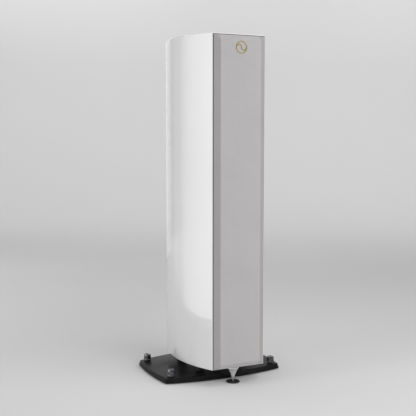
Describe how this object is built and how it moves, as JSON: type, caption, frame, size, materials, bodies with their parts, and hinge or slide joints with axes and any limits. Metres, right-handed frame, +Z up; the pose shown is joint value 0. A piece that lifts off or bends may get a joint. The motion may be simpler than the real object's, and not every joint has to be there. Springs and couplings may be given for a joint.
{
  "type": "floorstanding loudspeaker",
  "caption": "Floorstanding loudspeaker with bowed gloss-lacquered sides, a bevelled cloth grille, drivers and ports behind it, and a curved black plinth on levelling spikes with a cone foot.",
  "frame": {"origin": "on the floor, at the middle of the speaker's overall footprint", "axes": "+Z up, -Y towards the front with the grille, +X to the right seen from the front"},
  "size_m": [0.457, 0.4154, 1.16],
  "materials": {
    "white_lacquer": "gloss white lacquer over fibreboard",
    "raw_board": "bare fibreboard",
    "wadding": "loose polyester wadding",
    "port_plastic": "fine moulded texture",
    "frame_board": "moulded, matte black",
    "circuit_board": "solder mask",
    "copper_winding": "enamelled copper wire",
    "capacitor_shell": "film wrap",
    "wire_sheath": "soft sheath",
    "gilt_brass": "gold plated",
    "emblem_gold": "polished gold",
    "cap_plastic": "moulded, ribbed",
    "black_steel": "black oxide",
    "faceplate": "black anodised",
    "silk_dome": "coated cloth",
    "magnet_steel": "ferrite and zinc-plated steel",
    "cast_basket": "die cast, powder coated",
    "cone_composite": "woven composite",
    "surround_rubber": "moulded rubber",
    "spider_cloth": "resin-treated cloth",
    "phase_plug": "satin",
    "grille_fabric": "fine woven acoustic cloth, light grey",
    "plinth_black": "satin black lacquer over fibreboard",
    "spacer_black": "gloss black",
    "bolt_steel": "zinc plated",
    "insert_brass": "plain brass",
    "spike_steel": "turned",
    "knob_black": "black chrome",
    "foot_metal": "turned satin"
  },
  "bodies": {
    "cabinet": {"back_panel": "white_lacquer", "bass_ports": "port_plastic", "bottom_panel": "white_lacquer", "crossover_board": "circuit_board", "crossover_capacitors": "capacitor_shell", "crossover_inductors": "copper_winding", "damping_wadding": "wadding", "foot_lock_nut": "bolt_steel", "front_baffle": "white_lacquer", "grille_sockets": "surround_rubber", "internal_braces": "raw_board", "lock_rings": "spacer_black", "lower_woofer_basket": "cast_basket", "lower_woofer_motor": "magnet_steel", "lower_woofer_spider": "spider_cloth", "lower_woofer_surround": "surround_rubber", "midrange_basket": "cast_basket", "midrange_motor": "magnet_steel", "midrange_phase_plug": "phase_plug", "midrange_spider": "spider_cloth", "midrange_surround": "surround_rubber", "panel_screws": "black_steel", "plinth": "plinth_black", "plinth_bolts": "bolt_steel", "plinth_spacers": "spacer_black", "side_left": "white_lacquer", "side_right": "white_lacquer", "terminal_cup": "port_plastic", "terminal_posts": "gilt_brass", "threaded_inserts": "insert_brass", "top_panel": "white_lacquer", "tweeter_faceplate": "faceplate", "tweeter_motor": "magnet_steel", "upper_woofer_basket": "cast_basket", "upper_woofer_motor": "magnet_steel", "upper_woofer_spider": "spider_cloth", "upper_woofer_surround": "surround_rubber", "wiring": "wire_sheath"},
    "grille": {"grille_frame": "frame_board", "grille_cloth": "grille_fabric", "grille_pegs": "port_plastic", "emblem": "emblem_gold"},
    "foot_height": {"foot_disc": "spacer_black"},
    "foot_turn": {"cone_foot": "foot_metal"},
    "upper_woofer_diaphragm": {"upper_woofer_cone": "cone_composite"},
    "lower_woofer_diaphragm": {"lower_woofer_cone": "cone_composite"},
    "midrange_diaphragm": {"midrange_cone": "cone_composite"},
    "tweeter_diaphragm": {"tweeter_dome": "silk_dome"},
    "leveller_front_left": {"spike_front_left": "spike_steel"},
    "knob_front_left": {"knob_front_left": "knob_black"},
    "leveller_front_right": {"spike_front_right": "spike_steel"},
    "knob_front_right": {"knob_front_right": "knob_black"},
    "leveller_rear_left": {"spike_rear_left": "spike_steel"},
    "knob_rear_left": {"knob_rear_left": "knob_black"},
    "leveller_rear_right": {"spike_rear_right": "spike_steel"},
    "knob_rear_right": {"knob_rear_right": "knob_black"},
    "collar_left": {"post_collar_left": "gilt_brass"},
    "cap_left": {"post_cap_left": "cap_plastic"},
    "collar_right": {"post_collar_right": "gilt_brass"},
    "cap_right": {"post_cap_right": "cap_plastic"}
  },
  "joints": [
    {"name": "grille_pull_off", "type": "slide", "parent": "cabinet", "child": "grille", "axis": [0, -1, 0], "range_m": [0, 0.1]},
    {"name": "spike_front_left_height", "type": "slide", "parent": "cabinet", "child": "leveller_front_left", "axis": [0, 0, 1], "range_m": [-0.0025, 0.0025]},
    {"name": "knob_front_left_turn", "type": "hinge", "parent": "leveller_front_left", "child": "knob_front_left", "pos_m": [-0.193, -0.0713, 0.035], "axis": [0, 0, 1], "range_deg": [-720.1, 720.1]},
    {"name": "spike_front_right_height", "type": "slide", "parent": "cabinet", "child": "leveller_front_right", "axis": [0, 0, 1], "range_m": [-0.0025, 0.0025]},
    {"name": "knob_front_right_turn", "type": "hinge", "parent": "leveller_front_right", "child": "knob_front_right", "pos_m": [0.193, -0.0713, 0.035], "axis": [0, 0, 1], "range_deg": [-720.1, 720.1]},
    {"name": "spike_rear_left_height", "type": "slide", "parent": "cabinet", "child": "leveller_rear_left", "axis": [0, 0, 1], "range_m": [-0.0025, 0.0025]},
    {"name": "knob_rear_left_turn", "type": "hinge", "parent": "leveller_rear_left", "child": "knob_rear_left", "pos_m": [-0.193, 0.1477, 0.035], "axis": [0, 0, 1], "range_deg": [-720.1, 720.1]},
    {"name": "spike_rear_right_height", "type": "slide", "parent": "cabinet", "child": "leveller_rear_right", "axis": [0, 0, 1], "range_m": [-0.0025, 0.0025]},
    {"name": "knob_rear_right_turn", "type": "hinge", "parent": "leveller_rear_right", "child": "knob_rear_right", "pos_m": [0.193, 0.1477, 0.035], "axis": [0, 0, 1], "range_deg": [-720.1, 720.1]},
    {"name": "foot_height_adjust", "type": "slide", "parent": "cabinet", "child": "foot_height", "axis": [0, 0, 1], "range_m": [-0.0025, 0.0025]},
    {"name": "foot_turn_adjust", "type": "hinge", "parent": "foot_height", "child": "foot_turn", "pos_m": [0, -0.1533, 0.03], "axis": [0, 0, 1], "range_deg": [-720.1, 720.1]},
    {"name": "post_left_clamp", "type": "slide", "parent": "cabinet", "child": "collar_left", "axis": [0, 1, 0], "range_m": [0, 0.005]},
    {"name": "post_left_cap_turn", "type": "hinge", "parent": "collar_left", "child": "cap_left", "pos_m": [-0.019, 0.1847, 0.21], "axis": [0, 1, 0], "range_deg": [0, 1800.1]},
    {"name": "post_right_clamp", "type": "slide", "parent": "cabinet", "child": "collar_right", "axis": [0, 1, 0], "range_m": [0, 0.005]},
    {"name": "post_right_cap_turn", "type": "hinge", "parent": "collar_right", "child": "cap_right", "pos_m": [0.019, 0.1847, 0.21], "axis": [0, 1, 0], "range_deg": [0, 1800.1]},
    {"name": "upper_woofer_excursion", "type": "slide", "parent": "cabinet", "child": "upper_woofer_diaphragm", "axis": [0, -1, 0], "range_m": [-0.005, 0.005], "stiffness_N_per_m": 1200, "deforming": ["upper_woofer_surround", "upper_woofer_spider"]},
    {"name": "lower_woofer_excursion", "type": "slide", "parent": "cabinet", "child": "lower_woofer_diaphragm", "axis": [0, -1, 0], "range_m": [-0.005, 0.005], "stiffness_N_per_m": 1200, "deforming": ["lower_woofer_surround", "lower_woofer_spider"]},
    {"name": "midrange_excursion", "type": "slide", "parent": "cabinet", "child": "midrange_diaphragm", "axis": [0, -1, 0], "range_m": [-0.002, 0.002], "stiffness_N_per_m": 1500, "deforming": ["midrange_surround", "midrange_spider"]},
    {"name": "tweeter_excursion", "type": "slide", "parent": "cabinet", "child": "tweeter_diaphragm", "axis": [0, -1, 0], "range_m": [-0.0004, 0.0004], "stiffness_N_per_m": 2500}
  ],
  "couplings": [
    {"joint": "knob_front_left_turn", "follows": "spike_front_left_height", "rad_per_m": 5026.5},
    {"joint": "knob_front_right_turn", "follows": "spike_front_right_height", "rad_per_m": 5026.5},
    {"joint": "knob_rear_left_turn", "follows": "spike_rear_left_height", "rad_per_m": 5026.5},
    {"joint": "knob_rear_right_turn", "follows": "spike_rear_right_height", "rad_per_m": 5026.5},
    {"joint": "foot_turn_adjust", "follows": "foot_height_adjust", "rad_per_m": 5026.5},
    {"joint": "post_left_cap_turn", "follows": "post_left_clamp", "rad_per_m": 6283.2},
    {"joint": "post_right_cap_turn", "follows": "post_right_clamp", "rad_per_m": 6283.2}
  ]
}
